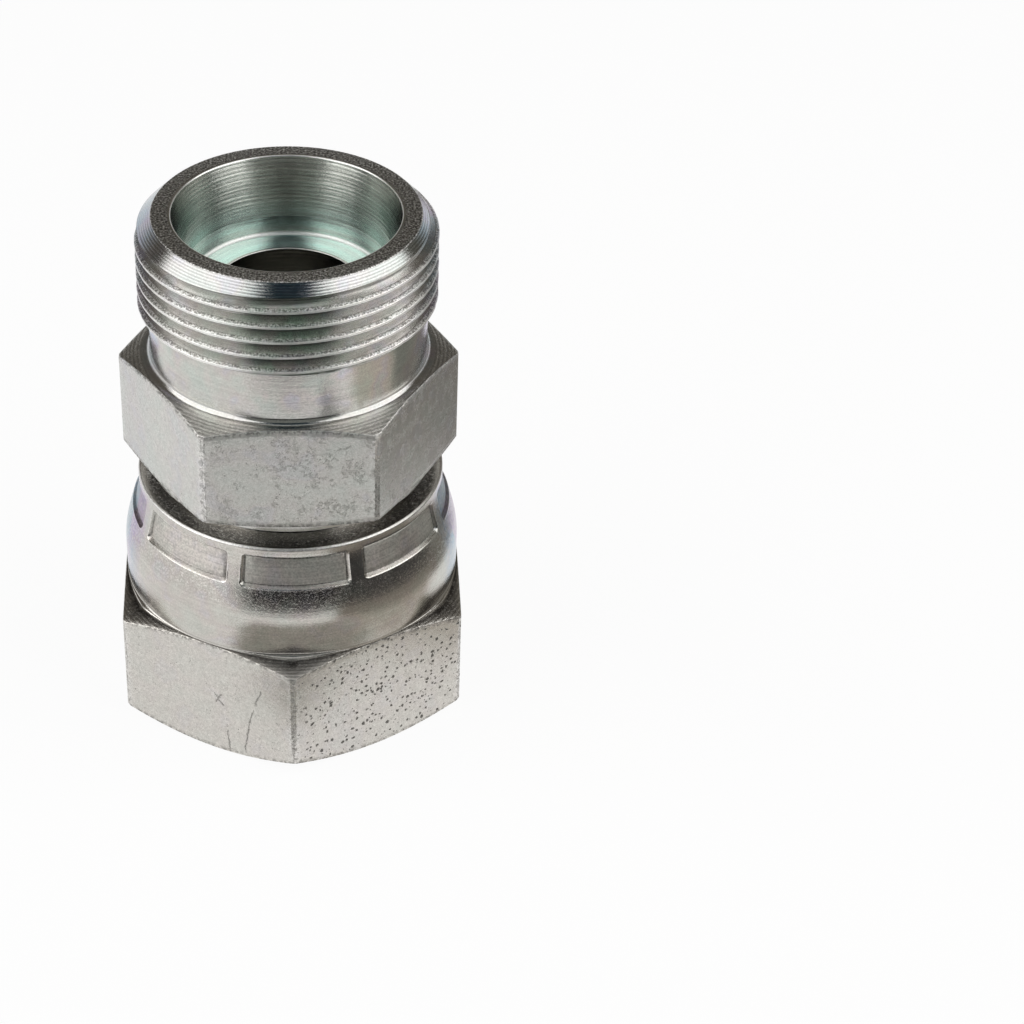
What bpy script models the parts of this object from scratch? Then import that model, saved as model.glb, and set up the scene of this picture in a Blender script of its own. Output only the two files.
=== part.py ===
# Hydraulic straight adapter: a one-piece body with a male tube end at the top and a
# 24 degree nose at the bottom, held in a crimped swivel nut that the part stands on.
# Run with: blender --background --python part.py
import math

import bmesh
import bpy
from mathutils import Matrix

MM = 0.001

# Tube end: the socket takes an 18 mm tube against a stop shoulder
BORE_DIAMETER = 12.7 * MM
TUBE_HOLE_DIAMETER = 18.1 * MM
TUBE_STOP_DEPTH = 7.5 * MM
SOCKET_CONE_HEIGHT = 5.6 * MM
CONE_HALF_ANGLE = math.radians(12)
BORE_EDGE_BREAK = 0.4 * MM

# Male thread, modelled at its outer diameter, and the neck below it
THREAD_DIAMETER = 27.0 * MM
THREAD_PITCH = 1.5 * MM
THREAD_LENGTH = 9.1 * MM
THREAD_END_CHAMFER = 1.55 * MM
THREAD_FLANK = math.radians(30)
NECK_LENGTH = 5.05 * MM
NECK_FILLET = 0.6 * MM

# Body hexagon, of bar whose flats are level with the thread's crests
BODY_ACROSS_FLATS = THREAD_DIAMETER
BODY_HEX_HEIGHT = 11.25 * MM
BODY_HEX_CHAMFER = math.radians(17)
HEX_EDGE_BREAK = 0.25 * MM
WASHER_FACE_HEIGHT = 0.65 * MM
WASHER_FACE_INSET = 0.3 * MM

# Nose, its seal and the flange that the nut's lip is crimped behind
NOSE_RECESS = 4.5 * MM
NOSE_LENGTH = 8.0 * MM
NOSE_ROUND = 0.5 * MM
FLANGE_LENGTH = 5.0 * MM
FLANGE_STEP = 1.5 * MM
O_RING_SECTION = 2.0 * MM
O_RING_HEIGHT = 4.7 * MM
O_RING_PROUD = 0.3 * MM

# Swivel nut: hexagon, internal thread and the collar that is pressed in by jaws
NUT_WALL = 2.3 * MM
NUT_ACROSS_FLATS = THREAD_DIAMETER + 2 * NUT_WALL
NUT_HEX_HEIGHT = 12.4 * MM
NUT_THREAD_LENGTH = 11.0 * MM
NUT_MOUTH_CHAMFER = math.radians(30)
NUT_TOP_CHAMFER = math.radians(20)
UNDERCUT_WIDTH = 1.6 * MM
UNDERCUT_DEPTH = 0.15 * MM
LIP_LENGTH = 2.6 * MM
CRIMP_SQUEEZE = 1.5 * MM
CRIMP_HEIGHT = 7.5 * MM
RIM_ROUND = 0.25 * MM
RIM_BAND = 1.0 * MM

# Crimp marks that the jaws leave round the collar, below a plain band at the rim
JAW_COUNT = 8
JAW_BITE = 0.25 * MM
JAW_HEIGHT = 3.0 * MM
JAW_TAPER = math.radians(13)
JAW_TURN = math.radians(1.5)
RIB_WIDTH = 1.5 * MM

# Clearances between pieces, and small insets that keep one surface proud of another
RUNNING_GAP = 0.3 * MM
FLANGE_TO_THREAD_GAP = 0.4 * MM
O_RING_GAP = 0.2 * MM
NUT_TO_HEX_GAP = 1.2 * MM
FLAT_INSET = 0.2 * MM
COLLAR_INSET = 0.1 * MM
CUTTER_MARGIN = 1.0 * MM

# Basic thread form: depths as shares of the pitch
EXTERNAL_DEPTH = 0.6134
INTERNAL_DEPTH = 0.5413

# Facets round a full turn, and points on a small arc
TURN_STEPS = 72
ARC_STEPS = 4
HEX_SIDES = 6

# Radii
bore_r = BORE_DIAMETER / 2
tube_r = TUBE_HOLE_DIAMETER / 2
thread_r = THREAD_DIAMETER / 2
neck_r = thread_r - EXTERNAL_DEPTH * THREAD_PITCH
nut_thread_r = thread_r - INTERNAL_DEPTH * THREAD_PITCH
flange_r = nut_thread_r - FLANGE_TO_THREAD_GAP
groove_r = flange_r - FLANGE_STEP
nose_root_r = flange_r - FLANGE_STEP
nose_r = nose_root_r - NOSE_LENGTH * math.tan(CONE_HALF_ANGLE)
collar_r = NUT_ACROSS_FLATS / 2 - COLLAR_INSET
rim_r = collar_r - CRIMP_SQUEEZE
lip_r = groove_r + RUNNING_GAP
plain_bore_r = flange_r + RUNNING_GAP

# Heights above the face that the nut stands on
collar_z = NUT_HEX_HEIGHT
nose_z = NOSE_RECESS
o_ring_z = nose_z + O_RING_HEIGHT
nose_root_z = nose_z + NOSE_LENGTH
flange_z = nose_root_z + FLANGE_STEP
flange_top_z = flange_z + FLANGE_LENGTH
flange_back_z = flange_top_z + FLANGE_STEP
lip_z = flange_back_z + RUNNING_GAP
lip_seat_z = lip_z - (plain_bore_r - lip_r)
rim_z = lip_z + LIP_LENGTH
underside_z = rim_z + NUT_TO_HEX_GAP
neck_z = underside_z + BODY_HEX_HEIGHT
thread_z = neck_z + NECK_LENGTH
mouth_z = thread_z + THREAD_LENGTH


def nose_radius(z):
    """Radius of the nose cone at height z."""
    return nose_r + (z - nose_z) * math.tan(CONE_HALF_ANGLE)


def corner_radius(across_flats):
    """Radius of the circle through a hexagon's corners."""
    return across_flats / 2 / math.cos(math.pi / HEX_SIDES)


def arc(centre_r, centre_z, width, height, start_deg, end_deg, steps=ARC_STEPS):
    """Points on a round or oval arc of a profile, from one angle to another."""
    points = []
    for step in range(steps + 1):
        angle = math.radians(start_deg + (end_deg - start_deg) * step / steps)
        points.append((centre_r + width * math.cos(angle), centre_z + height * math.sin(angle)))
    return points


def new_collection(name):
    collection = bpy.data.collections.new(name)
    bpy.context.scene.collection.children.link(collection)
    return collection


def metal(name, colour, roughness, metallic=1.0):
    material = bpy.data.materials.new(name)
    material.use_nodes = True
    shader = material.node_tree.nodes["Principled BSDF"]
    shader.inputs["Base Color"].default_value = (*colour, 1.0)
    shader.inputs["Roughness"].default_value = roughness
    shader.inputs["Metallic"].default_value = metallic
    return material


def link_mesh(name, bm, collection):
    mesh = bpy.data.meshes.new(name)
    bm.to_mesh(mesh)
    bm.free()
    item = bpy.data.objects.new(name, mesh)
    collection.objects.link(item)
    return item


def turned(name, profile, collection, steps=TURN_STEPS):
    """Turn a closed profile of (radius, height) points about the Z axis."""
    bm = bmesh.new()
    verts = [bm.verts.new((radius, 0.0, height)) for radius, height in profile]
    for index, vert in enumerate(verts):
        bm.edges.new((vert, verts[(index + 1) % len(verts)]))
    item = link_mesh(name, bm, collection)
    screw = item.modifiers.new("turn", 'SCREW')
    screw.steps = steps
    screw.render_steps = steps
    screw.use_merge_vertices = True
    screw.merge_threshold = 0.000001
    return item


def hide_cutter(item):
    item.hide_render = True
    item.display_type = 'WIRE'
    return item


def cut(item, cutter):
    boolean = item.modifiers.new("cut " + cutter.name, 'BOOLEAN')
    boolean.operation = 'DIFFERENCE'
    boolean.solver = 'EXACT'
    boolean.object = cutter


def hexagon_cutter(name, across_flats, low_z, high_z, turn_deg, collection):
    """A ring with a hexagonal hole: it mills six flats where it meets a round blank."""
    corner_r = corner_radius(across_flats)
    height = high_z - low_z
    middle = Matrix.Translation((0.0, 0.0, (low_z + high_z) / 2))
    turn = Matrix.Rotation(math.radians(turn_deg), 4, 'Z')

    prism = bmesh.new()
    bmesh.ops.create_cone(prism, cap_ends=True, segments=HEX_SIDES, radius1=corner_r, radius2=corner_r,
                          depth=height + 2 * CUTTER_MARGIN, matrix=middle @ turn)
    upright = [edge for edge in prism.edges if abs(edge.verts[0].co.z - edge.verts[1].co.z) > height / 2]
    bmesh.ops.bevel(prism, geom=upright, offset=HEX_EDGE_BREAK, segments=2, profile=0.5, affect='EDGES')
    core = hide_cutter(link_mesh(name + " core", prism, collection))

    blank = bmesh.new()
    ring_r = corner_r + 2 * CUTTER_MARGIN
    bmesh.ops.create_cone(blank, cap_ends=True, segments=TURN_STEPS, radius1=ring_r, radius2=ring_r,
                          depth=height, matrix=middle)
    ring = hide_cutter(link_mesh(name, blank, collection))
    cut(ring, core)
    return ring


def finish(item, material):
    """Apply the modifiers, shade the round faces smooth and give the piece its material."""
    shape = item.evaluated_get(bpy.context.evaluated_depsgraph_get())
    mesh = bpy.data.meshes.new_from_object(shape)
    item.modifiers.clear()
    item.data = mesh
    mesh.shade_smooth()
    mesh.set_sharp_from_angle(angle=math.radians(25))
    mesh.materials.clear()
    mesh.materials.append(material)


def body_profile():
    """Body section: down the outside from the tube end to the nose, back up the bore."""
    hex_corner_r = corner_radius(BODY_ACROSS_FLATS) + FLAT_INSET
    washer_r = BODY_ACROSS_FLATS / 2 - WASHER_FACE_INSET
    washer_z = underside_z + WASHER_FACE_HEIGHT
    neck_foot_r = neck_r + NECK_FILLET
    top_drop = (hex_corner_r - neck_foot_r) * math.tan(BODY_HEX_CHAMFER)
    under_rise = (hex_corner_r - washer_r) * math.tan(BODY_HEX_CHAMFER)

    # Tube end, thread, neck and the two chamfered ends of the hexagon
    profile = [(thread_r - THREAD_END_CHAMFER, mouth_z)]
    profile.append((thread_r, mouth_z - THREAD_END_CHAMFER))
    profile.append((thread_r, thread_z + (thread_r - neck_r) * math.tan(THREAD_FLANK)))
    profile.append((neck_r, thread_z))
    profile += arc(neck_foot_r, neck_z + NECK_FILLET, NECK_FILLET, NECK_FILLET, 180, 270)
    profile.append((hex_corner_r, neck_z - top_drop))
    profile.append((hex_corner_r, washer_z + under_rise))
    profile.append((washer_r, washer_z))
    profile.append((washer_r, underside_z))

    # Groove for the nut's lip, and the flange with a cone at each end
    profile.append((groove_r, underside_z))
    profile.append((groove_r, flange_back_z))
    profile.append((flange_r, flange_top_z))
    profile.append((flange_r, flange_z))
    profile.append((nose_root_r, nose_root_z))

    # Nose cone with the seal's groove and a rounded tip
    half_groove = O_RING_SECTION / 2 + O_RING_GAP
    seal_r = nose_radius(o_ring_z) + O_RING_PROUD - O_RING_SECTION - O_RING_GAP
    profile.append((nose_radius(o_ring_z + half_groove), o_ring_z + half_groove))
    profile.append((seal_r, o_ring_z + half_groove))
    profile.append((seal_r, o_ring_z - half_groove))
    profile.append((nose_radius(o_ring_z - half_groove), o_ring_z - half_groove))
    tip_r = nose_r - NOSE_ROUND
    profile += arc(tip_r, nose_z + NOSE_ROUND, NOSE_ROUND, NOSE_ROUND, 0, -90)

    # Bore, stop shoulder and the socket's cone
    profile.append((bore_r + BORE_EDGE_BREAK, nose_z))
    profile.append((bore_r, nose_z + BORE_EDGE_BREAK))
    stop_z = mouth_z - TUBE_STOP_DEPTH
    profile.append((bore_r, stop_z))
    profile.append((tube_r, stop_z))
    profile.append((tube_r, mouth_z - SOCKET_CONE_HEIGHT))
    profile.append((tube_r + SOCKET_CONE_HEIGHT * math.tan(CONE_HALF_ANGLE), mouth_z))
    return profile


def collar_outline():
    """Outside of the nut's collar, from the rim down: pressed in at the top, full below."""
    crimp_z = rim_z - RIM_BAND / 2
    points = arc(rim_r - RIM_ROUND, rim_z - RIM_ROUND, RIM_ROUND, RIM_ROUND, 90, 0)
    steps = 3 * ARC_STEPS
    for step in range(steps + 1):
        share = step / steps
        swell = share * share * (3 - 2 * share)
        points.append((rim_r + CRIMP_SQUEEZE * swell, crimp_z - CRIMP_HEIGHT * share))
    points.append((collar_r, collar_z))
    return points


def nut_profile():
    """Nut section: down the outside from the rim to the mouth, back up the thread bore."""
    hex_corner_r = corner_radius(NUT_ACROSS_FLATS) + FLAT_INSET
    face_r = NUT_ACROSS_FLATS / 2 - FLAT_INSET
    profile = collar_outline()
    profile.append((hex_corner_r, collar_z - (hex_corner_r - collar_r) * math.tan(NUT_TOP_CHAMFER)))
    profile.append((hex_corner_r, (hex_corner_r - face_r) * math.tan(NUT_MOUTH_CHAMFER)))
    profile.append((face_r, 0.0))

    # Chamfered mouth, thread bore, undercut, plain bore over the flange and the crimped lip
    undercut_r = thread_r + UNDERCUT_DEPTH
    undercut_z = NUT_THREAD_LENGTH + UNDERCUT_WIDTH
    profile.append((thread_r, 0.0))
    profile.append((nut_thread_r, thread_r - nut_thread_r))
    profile.append((nut_thread_r, NUT_THREAD_LENGTH))
    profile.append((undercut_r, NUT_THREAD_LENGTH))
    profile.append((undercut_r, undercut_z))
    profile.append((plain_bore_r, undercut_z))
    profile.append((plain_bore_r, lip_seat_z))
    profile.append((lip_r, lip_z))
    profile.append((lip_r, rim_z))
    return profile


def jaw_tool(collection):
    """The crimping tool: a ring that bites into the collar, split into jaws by the rib gaps."""
    face_r = rim_r - JAW_BITE
    high_z = rim_z - RIM_BAND
    low_z = high_z - JAW_HEIGHT
    foot_r = face_r + JAW_HEIGHT * math.tan(JAW_TAPER)
    reach = collar_r - face_r + CUTTER_MARGIN
    outline = [(face_r + reach, high_z), (face_r + reach, low_z), (foot_r, low_z), (face_r, high_z)]
    tool = turned("crimp jaws", outline, collection)

    bm = bmesh.new()
    middle_r = face_r + reach / 2
    for jaw in range(JAW_COUNT):
        angle = 2 * math.pi * (jaw + 0.5) / JAW_COUNT - math.pi / 2 + JAW_TURN
        turn = Matrix.Rotation(angle, 4, 'Z')
        place = Matrix.Translation((middle_r, 0.0, (low_z + high_z) / 2))
        size = Matrix.Diagonal((reach + 2 * CUTTER_MARGIN, RIB_WIDTH,
                                high_z - low_z + 2 * CUTTER_MARGIN, 1.0))
        bmesh.ops.create_cube(bm, size=1.0, matrix=turn @ place @ size)
    gaps = hide_cutter(link_mesh("rib gaps", bm, collection))
    cut(tool, gaps)
    return hide_cutter(tool)


def build_body(parts, cutters):
    body = turned("body", body_profile(), parts)
    clear = min(CUTTER_MARGIN, NECK_LENGTH / 2, NUT_TO_HEX_GAP / 2)
    flats = hexagon_cutter("body flats", BODY_ACROSS_FLATS, underside_z - clear, neck_z + clear, 30, cutters)
    cut(body, flats)
    finish(body, metal("zinc_steel_body", (0.62, 0.61, 0.59), 0.28))


def build_nut(parts, cutters):
    nut = turned("swivel_nut", nut_profile(), parts)
    flats = hexagon_cutter("nut flats", NUT_ACROSS_FLATS, -CUTTER_MARGIN, collar_z + CUTTER_MARGIN, 0, cutters)
    cut(nut, flats)
    cut(nut, jaw_tool(cutters))
    finish(nut, metal("zinc_steel_nut", (0.60, 0.59, 0.57), 0.32))


def build_o_ring(parts):
    half = O_RING_SECTION / 2
    ring_r = nose_radius(o_ring_z) + O_RING_PROUD - half
    section = arc(ring_r, o_ring_z, half, half, 90, -270, steps=12)[:-1]
    ring = turned("o_ring", section, parts)
    finish(ring, metal("black_rubber", (0.02, 0.02, 0.02), 0.55, metallic=0.0))


def main():
    for item in list(bpy.data.objects):
        bpy.data.objects.remove(item, do_unlink=True)
    parts = new_collection("straight_adapter")
    cutters = new_collection("cutters")
    build_body(parts, cutters)
    build_nut(parts, cutters)
    build_o_ring(parts)


main()
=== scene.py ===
# Hydraulic straight adapter, dressed: a zinc-plated steel body with a threaded tube end,
# held in a crimped swivel nut that it stands on, with a rubber seal on its nose.
import math

import bpy
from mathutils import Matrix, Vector


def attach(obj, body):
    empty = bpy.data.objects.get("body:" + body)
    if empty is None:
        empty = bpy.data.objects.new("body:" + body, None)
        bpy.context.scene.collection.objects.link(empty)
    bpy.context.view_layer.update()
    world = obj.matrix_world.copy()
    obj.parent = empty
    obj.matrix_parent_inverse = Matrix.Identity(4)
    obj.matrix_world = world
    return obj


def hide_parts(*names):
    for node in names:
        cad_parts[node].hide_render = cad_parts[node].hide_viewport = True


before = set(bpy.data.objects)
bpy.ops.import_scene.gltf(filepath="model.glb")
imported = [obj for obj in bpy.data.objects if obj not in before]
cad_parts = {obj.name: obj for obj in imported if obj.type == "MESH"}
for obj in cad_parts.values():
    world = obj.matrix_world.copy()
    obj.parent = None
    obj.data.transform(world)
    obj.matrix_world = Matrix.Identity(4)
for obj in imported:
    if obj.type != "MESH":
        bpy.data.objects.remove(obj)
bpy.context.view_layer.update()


# Camera: it looks down on the fitting from the front, with a long lens, at the photograph's angle.
CAMERA_PLACE = (0.001993, -0.215085, 0.173141)
CAMERA_TURN = (54.1027, -1.8669, -3.6917)
camera_data = bpy.data.cameras.new("camera")
camera_data.lens = 97.99
camera_data.sensor_width = 36.0
camera_data.clip_start = 0.01
camera = bpy.data.objects.new("camera", camera_data)
camera.location = CAMERA_PLACE
camera.rotation_euler = [math.radians(angle) for angle in CAMERA_TURN]
bpy.context.scene.collection.objects.link(camera)
bpy.context.scene.camera = camera
bpy.context.scene.view_settings.view_transform = 'Standard'


# Studio: a white table that runs out of sight, two broad soft boxes beside the camera and a small one
# overhead. The rest of the room is dim, so the steel shows light sides and dark upward faces.
def add_node(tree, kind, inputs=None, **settings):
    """A node with its settings made and its inputs set to a value or joined to an output."""
    made = tree.nodes.new(kind)
    for name, value in settings.items():
        setattr(made, name, value)
    for socket, value in (inputs or {}).items():
        if isinstance(value, bpy.types.NodeSocket):
            tree.links.new(value, made.inputs[socket])
        else:
            made.inputs[socket].default_value = value
    return made


def maths(tree, operation, *values, clamp=False):
    """The output of one Math node."""
    made = add_node(tree, "ShaderNodeMath", dict(enumerate(values)), operation=operation, use_clamp=clamp)
    return made.outputs[0]


def blended(tree, share, first, second, blend='MIX'):
    """The output of one colour Mix node."""
    inputs = {0: share, 6: first, 7: second}
    return add_node(tree, "ShaderNodeMix", inputs, data_type='RGBA', blend_type=blend).outputs[2]


def seen_directly(tree):
    """1 for rays from the camera and for those that metal or glass sends on."""
    path = add_node(tree, "ShaderNodeLightPath")
    seen = maths(tree, 'ADD', path.outputs["Is Camera Ray"], path.outputs["Is Glossy Ray"])
    return maths(tree, 'ADD', seen, path.outputs["Is Transmission Ray"], clamp=True)


WHITE = (1, 1, 1, 1)
TABLE_WHITE = (0.93, 0.93, 0.93, 1)
TABLE_HALF = 3.0
TABLE_OWN_WHITE = 0.93
table_mesh = bpy.data.meshes.new("table")
table_mesh.from_pydata([(-TABLE_HALF, -TABLE_HALF, 0), (TABLE_HALF, -TABLE_HALF, 0),
                        (TABLE_HALF, TABLE_HALF, 0), (-TABLE_HALF, TABLE_HALF, 0)], [], [(0, 1, 2, 3)])
table = bpy.data.objects.new("table", table_mesh)
bpy.context.scene.collection.objects.link(table)
paint = bpy.data.materials.new("white_table")
paint.use_nodes = True
tree = paint.node_tree
tree.nodes.remove(tree.nodes["Principled BSDF"])
matt = add_node(tree, "ShaderNodeBsdfDiffuse", {"Color": TABLE_WHITE})
glow = add_node(tree, "ShaderNodeEmission", {"Color": WHITE, "Strength": 1.0})
share = maths(tree, 'MULTIPLY', seen_directly(tree), TABLE_OWN_WHITE)
mixed = add_node(tree, "ShaderNodeMixShader", {0: share, 1: matt.outputs[0], 2: glow.outputs[0]})
tree.links.new(mixed.outputs[0], tree.nodes["Material Output"].inputs["Surface"])
table_mesh.materials.append(paint)


def soft_box(name, azimuth, elevation, distance, width, height, brightness):
    """An area lamp that faces the fitting. Azimuth 0 is on the camera's side, 90 on the right."""
    lamp = bpy.data.lights.new(name, 'AREA')
    lamp.shape = 'RECTANGLE'
    lamp.size = width
    lamp.size_y = height
    lamp.energy = brightness * math.pi * width * height
    item = bpy.data.objects.new(name, lamp)
    turn, rise = math.radians(azimuth), math.radians(elevation)
    back = Vector((math.sin(turn) * math.cos(rise), -math.cos(turn) * math.cos(rise), math.sin(rise)))
    item.location = back * distance
    item.rotation_euler = (-back).to_track_quat('-Z', 'Y').to_euler()
    bpy.context.scene.collection.objects.link(item)


soft_box("soft box left", -71, 34, distance=0.50, width=0.62, height=0.56, brightness=1.9)
soft_box("soft box right", 71, 34, distance=0.50, width=0.62, height=0.56, brightness=1.9)
soft_box("soft box overhead", 180, 84, distance=0.50, width=0.28, height=0.38, brightness=0.55)


# Cards that only the steel's reflections show: low ones on the right keep the faces there darker, tall ones
# in front stand for the dark room, and one lies on the table before the fitting.
def reflected_card(name, corners, colour):
    """A card that lights nothing, throws no shadow and isn't in the picture."""
    mesh = bpy.data.meshes.new(name)
    mesh.from_pydata(corners, [], [range(len(corners))])
    card = bpy.data.objects.new(name, mesh)
    bpy.context.scene.collection.objects.link(card)
    paint = bpy.data.materials.new(name)
    paint.use_nodes = True
    tree = paint.node_tree
    tree.nodes.remove(tree.nodes["Principled BSDF"])
    shine = add_node(tree, "ShaderNodeEmission", {"Color": (*colour, 1), "Strength": 1.0})
    tree.links.new(shine.outputs[0], tree.nodes["Material Output"].inputs["Surface"])
    mesh.materials.append(paint)
    card.visible_camera = card.visible_diffuse = card.visible_transmission = card.visible_shadow = False


def upright_card(name, start, end, low, high, colour):
    """A card that stands between two points of the table, from one height to another."""
    reflected_card(name, [(*start, low), (*end, low), (*end, high), (*start, high)], colour)


MM = 0.001
NEAR_CARD = ((0.014, -0.034), (0.030, -0.004))
upright_card("near_card_low", *NEAR_CARD, 0.0, 0.007, (0.50, 0.47, 0.42))
upright_card("near_card_middle", *NEAR_CARD, 0.007, 0.013, (0.28, 0.26, 0.23))
upright_card("near_card_high", *NEAR_CARD, 0.013, 0.023, (0.05, 0.05, 0.05))
upright_card("tan_card", (0.040, -0.037), (0.040, -0.006), 0.0, 0.030, (0.60, 0.56, 0.50))
upright_card("grey_card", (0.040, -0.006), (0.040, 0.200), 0.0, 0.034, (0.24, 0.23, 0.21))
FRONT_Y = -0.078
upright_card("front_card_low", (-0.047, FRONT_Y), (0.059, FRONT_Y), 0.0, 0.030, (0.008, 0.009, 0.010))
upright_card("front_card_middle", (-0.050, FRONT_Y), (0.050, FRONT_Y), 0.030, 0.095, (0.24, 0.25, 0.24))
reflected_card("front_card_high", [(-0.040, FRONT_Y, 0.095), (0.040, FRONT_Y, 0.095),
                                   (0.020, FRONT_Y, 0.190), (-0.020, FRONT_Y, 0.190)], (0.013, 0.028, 0.038))
reflected_card("table_card", [(-0.0155, -0.042, MM), (0.024, -0.042, MM), (0.024, -0.022, MM),
                              (-0.0155, -0.022, MM)], (0.36, 0.35, 0.32))

# The room seen by the steel: white near the table's level, dim and brownish above, bluish in front.
PALE_HORIZON = (0.9, 0.9, 0.9, 1)
DIM_ROOM = (0.125, 0.115, 0.10, 1)
DARK_FRONT = (0.025, 0.045, 0.06, 1)
HORIZON_RISE = {"From Min": 0.05, "From Max": 0.26, "To Min": 1.0, "To Max": 0.0}
FRONT_SPREAD = {"From Min": -0.62, "From Max": -0.82}
world = bpy.data.worlds.new("room")
world.use_nodes = True
bpy.context.scene.world = world
tree = world.node_tree
way = add_node(tree, "ShaderNodeSeparateXYZ", {0: add_node(tree, "ShaderNodeTexCoord").outputs["Generated"]})
low = add_node(tree, "ShaderNodeMapRange", {"Value": way.outputs["Z"]} | HORIZON_RISE,
               interpolation_type='SMOOTHSTEP').outputs[0]
level = maths(tree, 'SQRT', maths(tree, 'SUBTRACT', 1.0, maths(tree, 'POWER', way.outputs["Z"], 2.0)))
forward = maths(tree, 'DIVIDE', way.outputs["Y"], level)
front = add_node(tree, "ShaderNodeMapRange", {"Value": forward} | FRONT_SPREAD,
                 interpolation_type='SMOOTHSTEP').outputs[0]
low = maths(tree, 'MULTIPLY', low, maths(tree, 'SUBTRACT', 1.0, front))
dim = blended(tree, front, DIM_ROOM, DARK_FRONT)
room = blended(tree, low, dim, PALE_HORIZON)
path = add_node(tree, "ShaderNodeLightPath")
shown = blended(tree, path.outputs["Is Camera Ray"], room, WHITE)
tree.links.new(shown, tree.nodes["Background"].inputs["Color"])


# Body: one piece of hexagon bar, turned on a lathe to a threaded tube end with a conical socket, a neck
# and a conical nose, drilled through, then zinc plated. Its flats are the bar's own. Sizes are in mm.
BORE_R = 6.35
TUBE_R = 9.05
SOCKET_MOUTH_R = 10.24
STOP_Z = 42.5
SOCKET_CONE_Z = 44.4
MOUTH_Z = 50.0
MOUTH_RIM_R = 11.95
MOUTH_BREAK = 0.08
THREAD_R = 13.5
THREAD_PITCH = 1.5
THREAD_START_Z = 47.415
THREAD_ROOT_FLAT = 0.25
THREAD_CREST_FLAT = 0.1875
NECK_R = 12.58
THREAD_Z = 40.9
NECK_FILLET = 0.6
NECK_Z = 35.85
BODY_FLATS_R = 13.5
BODY_TURN = math.radians(-90)
BODY_CHAMFER = math.tan(math.radians(17))
BODY_EDGE = 0.12
CORNER_BREAK = 0.145
WASHER_R = 13.2
WASHER_Z = 25.25
UNDERSIDE_Z = 24.6
GROOVE_R = 10.788
FLANGE_R = 12.288
FLANGE_BACK_Z = 20.5
FLANGE_TOP_Z = 19.0
FLANGE_Z = 14.0
NOSE_ROOT_Z = 12.5
SEAL_SEAT_R = 7.886
SEAL_SEAT_LOW_Z = 8.0
SEAL_SEAT_HIGH_Z = 10.4
NOSE_R = 9.087
NOSE_Z = 4.5
NOSE_SLOPE = math.tan(math.radians(12))

# What each row of the unrolled surface says about itself.
ROW_WORDS = ("radius", "height", "helix", "reach", "slope", "inset", "pressed", "bite", "worn", "dirt",
             "grime", "milled", "threaded", "crest", "burr", "film", "teal", "brushed", "faced", "ragged",
             "grainy")


def row(radius, height, **words):
    return {"radius": radius, "height": height, **words}


def rounded(points, in_corners="dirt", **words):
    """Rows of a turned profile from (radius, height, rounding) points, with its corners rounded off. Its
    hollow corners carry the mark in_corners, painted shade unless another mark is given, and its outer ones
    get wear with a painted highlight."""
    rows = [row(*points[0][:2], **words)]
    for before, point, after in zip(points, points[1:], points[2:]):
        here = Vector(point[:2])
        come = (here - Vector(before[:2])).normalized()
        leave = (Vector(after[:2]) - here).normalized()
        bend = come.angle(leave, 0.0)
        if point[2] == 0 or bend < math.radians(3):
            rows.append(row(*here, **words))
            continue
        facets = max(2, math.ceil(bend / math.radians(25)))
        outward = Vector((-come.y, come.x))
        hollow = leave.dot(outward) > 0
        centre = here + (leave - come).normalized() * point[2] / math.cos(bend / 2)
        start = here - come * point[2] * math.tan(bend / 2) - centre
        for step in range(facets + 1):
            swing = bend * step / facets * (1 if hollow else -1)
            spoke = Vector((start.x * math.cos(swing) - start.y * math.sin(swing),
                            start.x * math.sin(swing) + start.y * math.cos(swing)))
            inner = 0 < step < facets
            marks = {in_corners if hollow else "worn": 1.0} if inner else {}
            rows.append(row(*(centre + spoke), **{**words, **marks}))
    rows.append(row(*points[-1][:2], **words))
    return rows


def thread_rows(low, high, start, root_r, crest_r, root_flat, crest_flat):
    """Rows of a thread for one turn more than its length, listed downwards, before the helix shears them.
    start is the height of a root where the turn begins."""
    flank = (THREAD_PITCH - root_flat - crest_flat) / 2
    step = crest_r - root_r
    # The roots and the foot of each flank are darkened with painted shade.
    section = [(0.0, root_r, {"dirt": 0.7}), (root_flat / 2, root_r + 0.03 * step, {"dirt": 0.5})]
    for share, rise, words in ((0.12, 0.12, {"dirt": 0.1}), (0.60, 0.60, {}), (0.68, 0.68, {"burr": 1.0}),
                               (0.80, 0.83, {"burr": 1.0}), (0.93, 0.94, {"burr": 0.8, "crest": 0.5})):
        section.append((root_flat / 2 + share * flank, root_r + rise * step, words))
    # The crests carry wear with a painted highlight.
    section += [(root_flat / 2 + flank, crest_r, {"crest": 1.0, "worn": 1.0}),
                (THREAD_PITCH / 2, crest_r - 0.01, {"crest": 0.5, "worn": 0.3})]
    section += [(THREAD_PITCH - drop, radius, words) for drop, radius, words in section[-2:0:-1]]
    rows = []
    top = start + THREAD_PITCH * math.ceil((high - start) / THREAD_PITCH)
    for turn in range(math.ceil((top - low) / THREAD_PITCH) + 1):
        for drop, radius, words in section:
            height = top - turn * THREAD_PITCH - drop
            rows.append(row(radius, height, helix=1.0, threaded=1.0, film=0.6, **words))
    return rows


def hexagon_edge(at_top, base_r, base_z, slope, edge):
    """Rows of a hexagon's rounded edge, from the chamfer cone that starts at a radius and height to the
    flat. The edge is torn here and there, as the lathe leaves it."""
    sign = 1 if at_top else -1
    pitch = math.atan(slope)
    bend = math.pi / 2 - pitch
    size = edge / math.tan(bend / 2)
    rows = [row(base_r, base_z + sign * edge * math.sin(pitch), reach=1.0, slope=-sign * slope,
                inset=edge * math.cos(pitch), faced=1.0, ragged=0.3)]
    for step in (1, 2, 3):
        swing = pitch + bend * step / 3
        rows.append(row(base_r, base_z + sign * (size * math.cos(swing) - edge), reach=1.0,
                        slope=-sign * slope, inset=size * (1 - math.sin(swing)), milled=1.0, ragged=1.0,
                        film=0.4))
    return rows if at_top else rows[::-1]


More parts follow.
